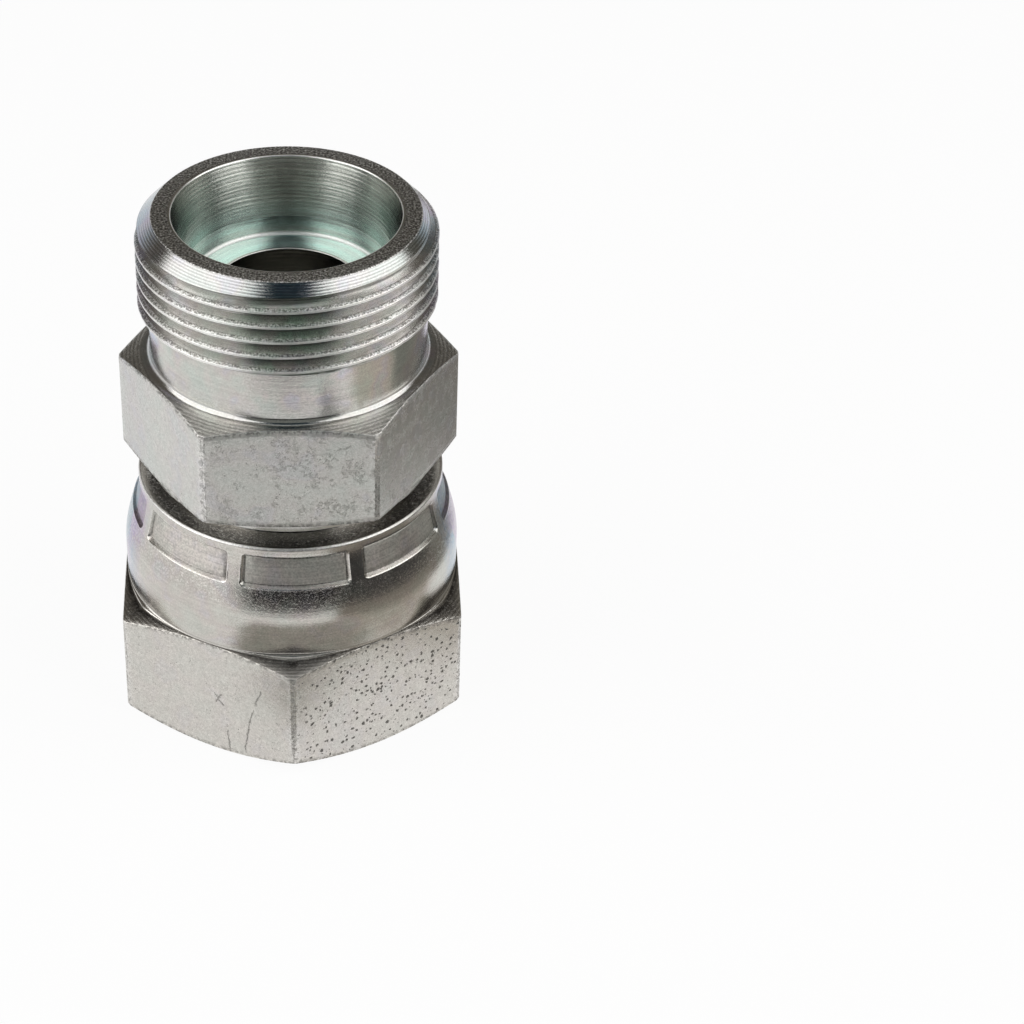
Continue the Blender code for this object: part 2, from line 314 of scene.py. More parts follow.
def hexagon_rows(top_r, top_z, top_slope, foot_r, foot_z, foot_slope, edge, top_shade=0.0):
    """Rows of a hexagon with a chamfer cone at each end, listed downwards. Its last argument is how much
    painted shade its top cone gets beside the round part that stands on it."""
    rows = [row(top_r, top_z, reach=reach, slope=-top_slope, faced=1.0, grainy=0.2, dirt=top_shade * (1 - reach))
            for reach in (0.27, 0.5, 0.75)]
    rows += hexagon_edge(True, top_r, top_z, top_slope, edge)
    high = top_z - top_slope * (foot_r - top_r)
    for share in (0.06, 0.25, 0.5, 0.75, 0.94):
        rows.append(row(foot_r, high + (foot_z - high) * share, reach=1.0, milled=1.0, film=0.4,
                        slope=-top_slope + (top_slope + foot_slope) * share))
    rows += hexagon_edge(False, foot_r, foot_z, foot_slope, edge)
    rows += [row(foot_r, foot_z, reach=reach, slope=foot_slope, faced=1.0) for reach in (0.75, 0.5, 0.25)]
    return rows


def unrolled(name, rows, angles):
    """The blank: a flat grid with a row for each point of the section and a column for each angle."""
    rows = rows + [rows[0]]
    columns = len(angles)
    points = [(angle, 0.1 * index, 0.0) for index in range(len(rows)) for angle in angles]
    faces = []
    for index in range(len(rows) - 1):
        for column in range(columns - 1):
            here = index * columns + column
            faces.append((here, here + columns, here + columns + 1, here + 1))
    mesh = bpy.data.meshes.new(name)
    mesh.from_pydata(points, [], faces)
    for word in ROW_WORDS:
        values = [line.get(word, 0.0) for line in rows for _ in angles]
        mesh.attributes.new(word, 'FLOAT', 'POINT').data.foreach_set("value", values)
    mesh.attributes.new("turn", 'FLOAT', 'POINT').data.foreach_set("value", list(angles) * len(rows))
    item = bpy.data.objects.new(name, mesh)
    bpy.context.scene.collection.objects.link(item)
    return item


def columns_at(count, places=(), offsets=()):
    """Angles round a full turn: evenly spaced ones, with those near a place moved out of its way."""
    fixed = sorted(math.radians(place + offset) % (2 * math.pi) for place in places for offset in offsets)
    clear = math.radians(0.35)
    even = [2 * math.pi * step / count for step in range(1, count)]
    kept = [angle for angle in even if all(abs(angle - other) > clear for other in fixed)]
    fixed = [angle for angle in fixed if clear < angle < 2 * math.pi - clear]
    return [0.0] + sorted(kept + fixed) + [2 * math.pi]


# The tree that rolls a blank up: it wraps the grid round the axis, draws a hexagon out of the rows that
# reach for it, shears the thread's rows into a helix and presses the jaw marks in.
roll = bpy.data.node_groups.new("roll up round the axis", 'GeometryNodeTree')
roll.is_modifier = True
roll.interface.new_socket("Geometry", in_out='INPUT', socket_type='NodeSocketGeometry')
roll.interface.new_socket("Geometry", in_out='OUTPUT', socket_type='NodeSocketGeometry')
ROLL_SIZES = ("Flats Radius", "Corner Break", "Hexagon Turn", "Pitch", "Side", "Low", "Low Radius",
              "Low Slope", "High", "High Radius", "High Slope", "Jaws", "Jaw Turn", "Rib Width", "Jaw Middle",
              "Jaw Height", "Jaw Corner", "Jaw Wall", "Jaw Score", "Burr", "Jaw Wear")
for size in ROLL_SIZES:
    roll.interface.new_socket(size, in_out='INPUT', socket_type='NodeSocketFloat')
roll.interface.new_socket("Finish", in_out='INPUT', socket_type='NodeSocketMaterial')
given = add_node(roll, "NodeGroupInput").outputs


def word(name):
    """What the blank's rows say under a name."""
    made = add_node(roll, "GeometryNodeInputNamedAttribute", {"Name": name}, data_type='FLOAT')
    return made.outputs["Attribute"]


def calc(operation, *values):
    return maths(roll, operation, *values)


def placed(radius, height):
    """The point at a radius and height, turned round the axis as far as its column says."""
    x, y = calc('MULTIPLY', radius, calc('COSINE', turn)), calc('MULTIPLY', radius, calc('SINE', turn))
    return add_node(roll, "ShaderNodeCombineXYZ", {0: x, 1: y, 2: height}).outputs[0]


# The hexagon's outline, with its corners broken on a lathe.
turn = word("turn")
sector = math.pi / 6
around = calc('WRAP', calc('SUBTRACT', turn, given["Hexagon Turn"]), sector, -sector)
flat_r = calc('DIVIDE', given["Flats Radius"], calc('COSINE', around))
corner_r = calc('SUBTRACT', calc('DIVIDE', given["Flats Radius"], math.cos(sector)), given["Corner Break"])
corner_r = calc('DIVIDE', corner_r, calc('COSINE', calc('SUBTRACT', sector, calc('ABSOLUTE', around))))
outline = calc('MINIMUM', flat_r, corner_r)
drawn = calc('MULTIPLY', word("reach"), calc('SUBTRACT', outline, word("radius")))
radius = calc('ADD', word("radius"), drawn)
height = calc('ADD', word("height"), calc('MULTIPLY', word("slope"), drawn))
radius = calc('SUBTRACT', radius, word("inset"))

# How far a point is outside the jaw's outline, a rectangle with rounded corners; inside it is below 0.
jaw_sector = calc('DIVIDE', math.pi, given["Jaws"])
from_jaw = calc('SUBTRACT', turn, given["Jaw Turn"])
from_jaw = calc('ABSOLUTE', calc('WRAP', from_jaw, jaw_sector, calc('MULTIPLY', jaw_sector, -1.0)))
half_rib = calc('MULTIPLY', given["Rib Width"], 0.5)
beside = calc('MULTIPLY_ADD', calc('SUBTRACT', from_jaw, jaw_sector), radius, half_rib)
from_middle = calc('ABSOLUTE', calc('SUBTRACT', height, given["Jaw Middle"]))
above = calc('MULTIPLY_ADD', given["Jaw Height"], -0.5, from_middle)
beside = calc('ADD', beside, given["Jaw Corner"])
above = calc('ADD', above, given["Jaw Corner"])
round_corner = calc('SQRT', calc('ADD', calc('POWER', calc('MAXIMUM', beside, 0.0), 2.0),
                                 calc('POWER', calc('MAXIMUM', above, 0.0), 2.0)))
within = calc('MINIMUM', calc('MAXIMUM', beside, above), 0.0)
outside = calc('SUBTRACT', calc('ADD', round_corner, within), given["Jaw Corner"])


def ridge(middle, half):
    """1 at a distance from the jaw's outline, falling to 0 at either side of it."""
    away = calc('ABSOLUTE', calc('SUBTRACT', outside, middle))
    return add_node(roll, "ShaderNodeMapRange", {"Value": away, "From Min": half, "From Max": 0.0},
                    interpolation_type='SMOOTHSTEP').outputs[0]


# The pressed face, the score that its edge leaves and the low burr that it raises.
SCORE_INSET = 0.07
SCORE_HALF = 0.12
BURR_OUT = 0.03
BURR_HALF = 0.07
BURR_SHARE = 0.15
half_wall = calc('MULTIPLY', given["Jaw Wall"], 0.5)
wall = {"Value": outside, "From Min": half_wall, "From Max": calc('MULTIPLY', half_wall, -1.0)}
under_jaw = add_node(roll, "ShaderNodeMapRange", wall, interpolation_type='SMOOTHSTEP').outputs[0]
pressing = calc('MULTIPLY', word("bite"), under_jaw)
score_middle = calc('MULTIPLY_ADD', half_wall, -1.0, -SCORE_INSET)
scored = calc('MULTIPLY', word("bite"), ridge(score_middle, SCORE_HALF))
raised = calc('MULTIPLY', word("bite"), ridge(calc('ADD', half_wall, BURR_OUT), BURR_HALF))
radius = calc('MULTIPLY_ADD', pressing, calc('SUBTRACT', word("pressed"), radius), radius)
marked_up = calc('SUBTRACT', calc('MULTIPLY', raised, BURR_SHARE), scored)
radius = calc('MULTIPLY_ADD', marked_up, given["Jaw Score"], radius)

# The helix: each thread row climbs by a pitch a turn, and is cut off by the chamfers at its two ends.
unlimited = radius
climb = calc('MULTIPLY', word("helix"), calc('MULTIPLY', given["Pitch"], calc('DIVIDE', turn, 2 * math.pi)))
climbed = calc('MINIMUM', calc('MAXIMUM', calc('ADD', height, climb), given["Low"]), given["High"])
side = given["Side"]
at_low = calc('MULTIPLY_ADD', calc('SUBTRACT', climbed, given["Low"]), given["Low Slope"],
              calc('MULTIPLY', side, given["Low Radius"]))
at_high = calc('MULTIPLY_ADD', calc('SUBTRACT', given["High"], climbed), given["High Slope"],
               calc('MULTIPLY', side, given["High Radius"]))
limited = calc('MINIMUM', calc('MULTIPLY', side, radius), calc('MINIMUM', at_low, at_high))
limited = calc('MULTIPLY', side, limited)
height = calc('ADD', height, calc('MULTIPLY', word("helix"), calc('SUBTRACT', climbed, height)))
radius = calc('ADD', radius, calc('MULTIPLY', word("helix"), calc('SUBTRACT', limited, radius)))

# Crests and jaw faces are a little uneven, except where the chamfers cut them off.
CUT_OFF = {"From Min": 0.06, "From Max": 0.01}
UNEVEN = {"W": 3.7, "Scale": 1.6, "Detail": 3.0}
UNEVEN_MIDDLE = 0.56
cut_off = calc('ABSOLUTE', calc('SUBTRACT', unlimited, limited))
kept = add_node(roll, "ShaderNodeMapRange", {"Value": cut_off} | CUT_OFF)
kept = calc('MAXIMUM', kept.outputs[0], calc('SUBTRACT', 1.0, word("helix")))
rough = add_node(roll, "ShaderNodeTexNoise", {"Vector": placed(radius, height)} | UNEVEN,
                 noise_dimensions='4D').outputs["Fac"]
rough = calc('MINIMUM', calc('SUBTRACT', rough, UNEVEN_MIDDLE), 0.0)
waver = calc('ADD', calc('MULTIPLY', calc('MULTIPLY', given["Burr"], word("crest")), kept),
             calc('MULTIPLY', given["Jaw Wear"], pressing))
radius = calc('ADD', radius, calc('MULTIPLY', rough, waver))

metres = add_node(roll, "ShaderNodeVectorMath", {0: placed(radius, height), "Scale": MM}, operation='SCALE')
made = add_node(roll, "GeometryNodeSetPosition", {"Geometry": given["Geometry"],
                                                  "Position": metres.outputs[0]})
marks = {name: calc('MULTIPLY', word(name), kept) for name in ("threaded", "burr", "worn", "dirt")}
marks |= {"chamfered": calc('SUBTRACT', 1.0, kept)}
marks |= {"jaw mark": pressing, "jaw score": scored, "jaw burr": raised}
for mark, value in marks.items():
    made = add_node(roll, "GeometryNodeStoreNamedAttribute",
                    {"Geometry": made.outputs[0], "Name": mark, "Value": value},
                    data_type='FLOAT', domain='POINT')
made = add_node(roll, "GeometryNodeMergeByDistance", {"Geometry": made.outputs[0], "Distance": 0.001 * MM})
made = add_node(roll, "GeometryNodeSetShadeSmooth", {"Geometry": made.outputs[0]})
made = add_node(roll, "GeometryNodeRealizeInstances", {"Geometry": made.outputs[0]})
made = add_node(roll, "GeometryNodeSetMaterial", {"Geometry": made.outputs[0], "Material": given["Finish"]})
add_node(roll, "NodeGroupOutput", {"Geometry": made.outputs[0]})


def plain_mesh(item, modifier):
    """Give a piece the mesh that a modifier makes of it, and take the modifier away."""
    mesh = bpy.data.meshes.new_from_object(item.evaluated_get(bpy.context.evaluated_depsgraph_get()))
    item.modifiers.remove(modifier)
    item.data = mesh


def rolled_up(item, finish, **sizes):
    """Roll a blank up with the tree, and keep the result as the plain mesh of the piece."""
    shape = item.modifiers.new("roll", 'NODES')
    shape.node_group = roll
    chosen = {size: 0.0 for size in ROLL_SIZES} | {"Jaws": 1.0, "Flats Radius": 1.0}
    chosen |= {name.replace("_", " ").title(): value for name, value in sizes.items()}
    for socket in roll.interface.items_tree:
        if socket.in_out == 'INPUT' and socket.name in chosen:
            shape[socket.identifier] = float(chosen[socket.name])
        elif socket.name == "Finish":
            shape[socket.identifier] = finish
    plain_mesh(item, shape)
    item.data.set_sharp_from_angle(angle=math.radians(28))
    even = item.modifiers.new("even shading", 'WEIGHTED_NORMAL')
    even.keep_sharp = True
    even.weight = 60
    plain_mesh(item, even)


# Colours of the plated steel's marks, and how much rougher each kind of surface is than the bare turning.
DIRT_AND_HOLLOW_SHADE = (0.07, 0.065, 0.06)
TORN_DARK_AND_SHADE = (0.06, 0.055, 0.05)
TORN_BRIGHT = (0.92, 0.92, 0.90)
WORN_EDGE_HIGHLIGHT = (0.92, 0.91, 0.89)
CORNER_HIGHLIGHT = (0.86, 0.85, 0.83)
INNER_SHADE = (0.21, 0.18, 0.15)
STAMPED = (0.17, 0.165, 0.155)
SCORE_SHADE = (0.03, 0.03, 0.028)
JAW_BURR_HIGHLIGHT = (0.95, 0.94, 0.92)
GLINT_WHITE = (1.0, 0.99, 0.97)
TEAL_FILM = (0.62, 0.86, 0.80)
GREEN_FILM_REFLECTION = (0.72, 0.98, 0.84)
BLUE_FILM_SHEEN = (0.50, 0.74, 1.0)
VIOLET_FILM_SHEEN = (0.76, 0.64, 1.0)
CHAMFER_SHADE = (0.78, 0.80, 0.82)
FILM_STOPS = ((0.0, (0.92, 1.0, 0.96)), (0.4, (1.0, 0.99, 0.96)), (0.65, (1.0, 0.93, 0.93)),
              (0.85, (0.93, 0.88, 1.0)), (1.0, (0.90, 0.95, 1.0)))
ROUGHER = {"milled": 0.11, "jaw mark": 0.22, "brushed": -0.02, "grainy": 0.16, "burr": 0.12, "ragged": 0.10,
           "worn": 0.20, "teal": 0.13, "threaded": 0.10, "faced": 0.08}
FACING_FEED = 0.34
CHAMFER_FEED = 0.19
BORING_FEED = 0.37
LAY_STRETCH = 0.28


def zinc_plate(name, colour, roughness, mark_depth, grain_depth, hexagon_turn, film, pits=0.0, scratches=()):
    """Zinc-plated steel: fine turning lines round the axis, a mottled grain, burrs with a painted highlight,
    painted shade in the corners, a film of passivation colour in places with a painted sheen and reflection
    colour, painted glints, and pits, nicked corners and scratches on the bar's own flats."""
    material = bpy.data.materials.new(name)
    material.use_nodes = True
    tree = material.node_tree
    shader = tree.nodes["Principled BSDF"]
    shader.inputs["Metallic"].default_value = 1.0
    shader.inputs["Anisotropic"].default_value = 0.7
    shader.inputs["Anisotropic Rotation"].default_value = 0.25

    def word(name):
        return add_node(tree, "ShaderNodeAttribute", attribute_name=name).outputs["Fac"]

    def calc(operation, *values, clamp=False):
        return maths(tree, operation, *values, clamp=clamp)

    def vectors(operation, *values, scale=None):
        inputs = dict(enumerate(values)) | ({} if scale is None else {"Scale": scale})
        return add_node(tree, "ShaderNodeVectorMath", inputs, operation=operation).outputs

    def joined(x, y, z):
        return add_node(tree, "ShaderNodeCombineXYZ", {0: x, 1: y, 2: z}).outputs[0]

    def noise(scale, detail, roughness=0.5, along=None):
        inputs = {"Vector": along or spot, "Scale": scale, "Detail": detail, "Roughness": roughness}
        if along is None:
            return add_node(tree, "ShaderNodeTexNoise", inputs).outputs["Fac"]
        return add_node(tree, "ShaderNodeTexNoise", inputs | {"W": out}, noise_dimensions='4D').outputs["Fac"]

    def spread(value, low, high, start=0.0, end=1.0):
        inputs = {"Value": value, "From Min": low, "From Max": high, "To Min": start, "To Max": end}
        return add_node(tree, "ShaderNodeMapRange", inputs).outputs[0]

    def waves(value, step):
        return calc('SINE', calc('MULTIPLY', value, 2 * math.pi / step))

    def tinted(share, under, tint):
        return blended(tree, share, under, blended(tree, 1.0, under, (*tint, 1), 'MULTIPLY'))

    def painted(share, under, colour):
        return blended(tree, share, under, (*colour, 1))

    # Places: in mm, by compass round the axis, and stretched along the lathe's lines.
    here = add_node(tree, "ShaderNodeTexCoord").outputs["Object"]
    spot = vectors('SCALE', here, scale=1 / MM)[0]
    part = add_node(tree, "ShaderNodeSeparateXYZ", {0: spot}).outputs
    out = calc('SQRT', calc('ADD', calc('POWER', part[0], 2.0), calc('POWER', part[1], 2.0)))
    east = calc('DIVIDE', part[0], out)
    north = calc('DIVIDE', part[1], out)
    lay = joined(calc('MULTIPLY', east, LAY_STRETCH), calc('MULTIPLY', north, LAY_STRETCH), part[2])
    fine = noise(4.2, 3.0, 0.75, lay)
    broad = noise(1.9, 2.0, 0.5, lay)
    grain = noise(6.5, 5.0, 0.8)
    mottle = noise(1.0, 3.0, 0.6)
    cloud = noise(0.16, 1.0)
    chipped = noise(2.6, 4.0, 0.75)
    torn = noise(5.5, 3.0, 0.65)
    crumbs = noise(5.0, 2.0, 0.6)
    milled, threaded, jaw, brushed = word("milled"), word("threaded"), word("jaw mark"), word("brushed")
    grainy, ragged, burr, worn = word("grainy"), word("ragged"), word("burr"), word("worn")

    # Turning lines: fine ones everywhere but on the flats, and the tool's feed on faces, chamfer and bore.
    turned = calc('MULTIPLY', calc('SUBTRACT', 1.0, milled), spread(threaded, 0.0, 1.0, 1.0, 0.4))
    turned = calc('MULTIPLY', turned, spread(calc('MAXIMUM', jaw, grainy), 0.0, 1.0, 1.0, 0.35))
    feed = waves(calc('MULTIPLY_ADD', broad, 0.25, out), FACING_FEED)
    feed = calc('MULTIPLY', spread(feed, -0.5, 0.5, -0.45, 0.45), word("faced"))
    comb = waves(part[2], CHAMFER_FEED)
    feed = calc('MULTIPLY_ADD', calc('MULTIPLY', comb, word("chamfered")), 0.35, feed)
    bored = waves(calc('MULTIPLY_ADD', broad, 0.3, part[2]), BORING_FEED)
    feed = calc('MULTIPLY_ADD', calc('MULTIPLY', bored, brushed), 0.09, feed)
    lines = calc('ADD', calc('MULTIPLY_ADD', fine, 0.8, calc('MULTIPLY', broad, 0.2)), feed)
    swing = calc('MULTIPLY', turned, calc('MULTIPLY_ADD', brushed, 3.0, 1.0))
    swing = calc('MULTIPLY', calc('SUBTRACT', lines, 0.5), swing)
    tone = spread(swing, -0.56, 0.56, 0.72, 1.28)
    tone = calc('MULTIPLY', tone, spread(mottle, 0.3, 0.7, 0.95, 1.05))
    tone = calc('MULTIPLY', tone, spread(grain, 0.35, 0.65, 0.84, 1.14))
    patchy = spread(chipped, 0.35, 0.65, -0.04, 0.12)
    tone = calc('MULTIPLY', tone, calc('MULTIPLY_ADD', patchy, milled, 1.0))
    shade = add_node(tree, "ShaderNodeCombineColor", {0: tone, 1: tone, 2: tone}).outputs[0]
    base = blended(tree, 1.0, (*colour, 1), shade, 'MULTIPLY')

    # Passivation film: faint changing tints, with a painted blue and violet sheen at the left and right
    # sides, teal inside, and green in the thread's front and back, partly a painted reflection colour.
    ramp = add_node(tree, "ShaderNodeValToRGB", {0: spread(noise(0.35, 2.0), 0.34, 0.66)})
    stops = ramp.color_ramp.elements
    stops[0].color = (*FILM_STOPS[0][1], 1)
    stops[1].color = (*FILM_STOPS[-1][1], 1)
    for place, tint in FILM_STOPS[1:-1]:
        stops.new(place).color = (*tint, 1)
    tint_share = calc('MULTIPLY', word("film"), film, clamp=True)
    base = blended(tree, tint_share, base, blended(tree, 1.0, base, ramp.outputs[0], 'MULTIPLY'))
    # Painted sheen: blue and violet at the left and right sides of the film.
    side = spread(calc('ADD', calc('ABSOLUTE', east), calc('MULTIPLY', mottle, 0.06)), 0.93, 1.0)
    side = calc('MULTIPLY', side, spread(chipped, 0.38, 0.56, 0.45, 1.0))
    side = calc('MULTIPLY', side, calc('MULTIPLY_ADD', milled, -0.8, 1.0))
    side_sheen = blended(tree, spread(cloud, 0.45, 0.55), (*BLUE_FILM_SHEEN, 1), (*VIOLET_FILM_SHEEN, 1))
    side_sheen = blended(tree, 1.0, base, side_sheen, 'MULTIPLY')
    base = blended(tree, calc('MULTIPLY', word("film"), side), base, side_sheen)
    teal = calc('MULTIPLY', word("teal"), spread(broad, 0.35, 0.65, 0.3, 0.75))
    base = painted(teal, base, TEAL_FILM)
    # The thread's front and back are tinted green: partly film, partly a painted reflection of light bounced
    # between its flanks.
    middle = calc('MULTIPLY', threaded, spread(calc('ABSOLUTE', east), 0.55, 0.1))
    green_reflection = calc('MULTIPLY', calc('MULTIPLY', middle, tint_share), spread(noise(0.5, 2.0), 0.42, 0.56))
    base = tinted(green_reflection, base, GREEN_FILM_REFLECTION)

    # Pits in the bar's flats: large ones where a piece has them, and small specks.
    def cell_spots(scale, least, most, smallest, largest):
        """The distance to the nearest pit's middle, and that pit's own size."""
        cells = add_node(tree, "ShaderNodeTexVoronoi", {"Vector": strayed, "Scale": scale, "Randomness": 1.0})
        chance = add_node(tree, "ShaderNodeSeparateColor", {0: cells.outputs["Color"]}).outputs[0]
        return cells.outputs["Distance"], spread(chance, least, most, smallest, largest)

    drift = add_node(tree, "ShaderNodeTexNoise", {"Vector": spot, "Scale": 0.6, "Detail": 1.0})
    strayed = vectors('ADD', spot, vectors('SCALE', drift.outputs["Color"], scale=0.5)[0])[0]
    away, size = cell_spots(2.1, 0.1, 1.0, 0.05, 0.36)
    uneven = calc('MULTIPLY_ADD', calc('SUBTRACT', grain, 0.5), 1.0, away)
    pit = spread(calc('SUBTRACT', uneven, size), -0.04, 0.05, 1.0, 0.0)
    pit = calc('MULTIPLY', pit, calc('MULTIPLY', spread(part[0], -0.6, 1.6), pits))
    away, size = cell_spots(3.4, 0.4, 1.0, -0.05, 0.24)
    speck = spread(calc('SUBTRACT', away, size), -0.05, 0.05, 0.75, 0.0)
    specked = spread(mottle, 0.42, 0.58, 0.0, calc('MULTIPLY_ADD', pits, 0.6, 0.4))
    pit = calc('MAXIMUM', pit, calc('MULTIPLY', speck, specked))

    # Nicked corners of the hexagon with a painted highlight along them, and single scratches on its flats.
    around = calc('SUBTRACT', calc('ARCTAN2', north, east), hexagon_turn)
    around = calc('WRAP', around, math.pi / 6, -math.pi / 6)
    to_corner = calc('MULTIPLY', calc('SUBTRACT', math.pi / 6, calc('ABSOLUTE', around)), out)
    nick = spread(calc('MULTIPLY_ADD', calc('SUBTRACT', chipped, 0.5), 2.4, to_corner), 0.16, 0.06)
    nick = calc('MULTIPLY', nick, spread(grain, 0.36, 0.5, 1.0, 0.45))
    flaw = calc('MAXIMUM', pit, calc('MULTIPLY', nick, 0.85))
    waver = add_node(tree, "ShaderNodeTexNoise", {"Vector": spot, "Scale": 0.9, "Detail": 4.0})
    waver = vectors('SUBTRACT', waver.outputs["Color"], (0.5, 0.5, 0.5))[0]
    wavering = vectors('MULTIPLY_ADD', waver, (0.6, 0.6, 0.6), spot)[0]
    for start, end in scratches:
        along = Vector(end) - Vector(start)
        offset = vectors('SUBTRACT', wavering, start)[0]
        share = vectors('DOT_PRODUCT', offset, tuple(along / along.length_squared))["Value"]
        nearest = vectors('SCALE', tuple(along), scale=calc('MULTIPLY', share, 1.0, clamp=True))[0]
        away = vectors('DISTANCE', offset, nearest)["Value"]
        away = calc('MULTIPLY_ADD', calc('SUBTRACT', grain, 0.5), 0.45, away)
        flaw = calc('MAXIMUM', flaw, spread(away, 0.03, 0.11, 0.75, 0.0))
    scribble = spread(calc('ABSOLUTE', calc('SUBTRACT', chipped, 0.47)), 0.032, 0.006)
    scribble = calc('MULTIPLY', scribble, spread(mottle, 0.50, 0.60, 0.0, 0.22))
    flaw = calc('MULTIPLY', calc('MAXIMUM', flaw, scribble), milled, clamp=True)
    rag = calc('MULTIPLY', spread(ragged, 0.35, 1.0), spread(chipped, 0.46, 0.53, 0.7, 0.0))
    flaw = calc('MAXIMUM', flaw, rag)
    # Painted highlight along the flats near the hexagon's corners.
    corner_highlight = calc('MULTIPLY', milled, spread(grain, 0.42, 0.58, 0.0, 0.5))
    base = painted(calc('MULTIPLY', spread(to_corner, 0.75, 0.15), corner_highlight), base, CORNER_HIGHLIGHT)
    base = painted(calc('MULTIPLY', flaw, 0.82), base, DIRT_AND_HOLLOW_SHADE)
    base = tinted(word("chamfered"), base, CHAMFER_SHADE)

    # Painted shade inside the bore and under the nut's lip, torn flanks of the thread, worn edges with a
    # painted highlight, painted shade in corners and roots, jaw marks with painted shade in their score and a
    # painted highlight on their burr, and grainy faces speckled with painted shade and painted glints.
    base = painted(calc('MULTIPLY', word("grime"), spread(mottle, 0.3, 0.7, 0.75, 1.0)), base, INNER_SHADE)
    base = painted(calc('MULTIPLY', burr, spread(torn, 0.50, 0.45, 0.0, 0.65)), base, TORN_DARK_AND_SHADE)
    base = painted(calc('MULTIPLY', burr, spread(torn, 0.52, 0.57, 0.0, 0.70)), base, TORN_BRIGHT)
    # Painted highlight over the wear of edges, crests and the socket's stop corner.
    edge = calc('MULTIPLY', worn, spread(grain, 0.36, 0.5, 0.35, 1.0), clamp=True)
    base = painted(calc('MULTIPLY', edge, 0.85), base, WORN_EDGE_HIGHLIGHT)
    # Painted shade: hollow corners, thread roots, fillets and the nut's top cone beside its collar are
    # darkened.
    dirt = calc('MULTIPLY', word("dirt"), spread(mottle, 0.3, 0.6, 0.6, 1.0), clamp=True)
    base = painted(dirt, base, DIRT_AND_HOLLOW_SHADE)
    stamped = calc('MULTIPLY_ADD', fine, 0.5, calc('MULTIPLY', crumbs, 0.5))
    base = painted(calc('MULTIPLY', jaw, spread(stamped, 0.42, 0.56, 0.38, 0.0)), base, STAMPED)
    # The score along each jaw mark's edge is painted dark as its shade.
    score = calc('MULTIPLY', word("jaw score"), spread(grain, 0.42, 0.56, 0.95, 0.35), clamp=True)
    base = painted(score, base, SCORE_SHADE)
    # The burr below each jaw mark gets a painted highlight.
    base = painted(calc('MULTIPLY', word("jaw burr"), spread(grain, 0.42, 0.56, 0.0, 0.6)), base, JAW_BURR_HIGHLIGHT)
    # Grainy faces, the socket's top ring most, are speckled dark: partly grain, partly painted shade of faces
    # turned upwards.
    speckled_shade = calc('MULTIPLY', spread(crumbs, 0.53, 0.44, 0.20, 0.85), spread(mottle, 0.3, 0.7, 0.85, 1.1))
    base = painted(calc('MULTIPLY', grainy, speckled_shade, clamp=True), base, TORN_DARK_AND_SHADE)
    # Painted glints: white specks on grainy faces and, faintly, on jaw marks.
    glints = calc('MAXIMUM', grainy, calc('MULTIPLY', jaw, 0.06))
    glints = calc('MULTIPLY', glints, spread(crumbs, 0.57, 0.64), clamp=True)
    base = painted(calc('MULTIPLY', glints, 0.9), base, GLINT_WHITE)
    tree.links.new(base, shader.inputs["Base Color"])

    gloss = calc('ADD', roughness, spread(mottle, 0.3, 0.7, -0.03, 0.03))
    for mark, extra in ROUGHER.items():
        gloss = calc('MULTIPLY_ADD', word(mark), extra, gloss)
    gloss = calc('MULTIPLY_ADD', flaw, 0.3, gloss, clamp=True)
    tree.links.new(gloss, shader.inputs["Roughness"])

    # Relief: the lines of the tool first, then grain, pits and burrs over them.
    cut = calc('MULTIPLY', calc('MULTIPLY', lines, turned), calc('MULTIPLY_ADD', brushed, 2.0, 1.0))
    cuts = add_node(tree, "ShaderNodeBump", {"Strength": 0.8, "Distance": mark_depth * MM, "Height": cut})
    coarse = calc('MULTIPLY_ADD', milled, 0.3, calc('MULTIPLY', jaw, 1.5))
    coarse = calc('ADD', calc('MULTIPLY_ADD', grainy, 2.5, 1.0), coarse)
    dents = calc('SUBTRACT', calc('MULTIPLY', grain, coarse), calc('MULTIPLY', flaw, 2.5))
    dents = calc('MULTIPLY_ADD', calc('MULTIPLY', burr, torn), 4.0, dents)
    peaks = calc('MULTIPLY', spread(crumbs, 0.54, 0.63), calc('MINIMUM', grainy, 0.3))
    dents = calc('MULTIPLY_ADD', peaks, 2.5, dents)
    grains = add_node(tree, "ShaderNodeBump", {"Strength": 0.8, "Distance": grain_depth * MM, "Height": dents,
                                               "Normal": cuts.outputs[0]})
    tree.links.new(grains.outputs[0], shader.inputs["Normal"])
    across = joined(calc('MULTIPLY', north, -1.0), east, 0.0)
    across = add_node(tree, "ShaderNodeVectorTransform", {0: across}, vector_type='VECTOR',
                      convert_from='OBJECT', convert_to='WORLD').outputs[0]
    tree.links.new(across, shader.inputs["Tangent"])
    return material


# The bore is darkened deep inside with painted shade.
body_rows = rounded([(BORE_R, 20.0, 0), (BORE_R, STOP_Z, 0.08), (BORE_R + 0.2, STOP_Z, 0)],
                    brushed=1.0, grime=0.6, teal=0.25)
# The stop's hollow corner carries a painted highlight, a bright ring round the socket.
body_rows += rounded([(BORE_R + 0.3, STOP_Z, 0), (TUBE_R, STOP_Z, 0.35), (TUBE_R, SOCKET_CONE_Z, 0.10),
                      (TUBE_R + 0.11, SOCKET_CONE_Z + 0.5, 0)], in_corners="worn", teal=0.8, brushed=0.5)
body_rows += rounded([(TUBE_R + 0.32, SOCKET_CONE_Z + 1.5, 0), (SOCKET_MOUTH_R, MOUTH_Z, 0.15),
                      (SOCKET_MOUTH_R + 0.2, MOUTH_Z, 0)], brushed=1.0, teal=0.12)
body_rows += rounded([(SOCKET_MOUTH_R + 0.3, MOUTH_Z, 0), (MOUTH_RIM_R, MOUTH_Z, 0.12),
                      (MOUTH_RIM_R + MOUTH_BREAK, MOUTH_Z - MOUTH_BREAK, 0)], grainy=1.0)
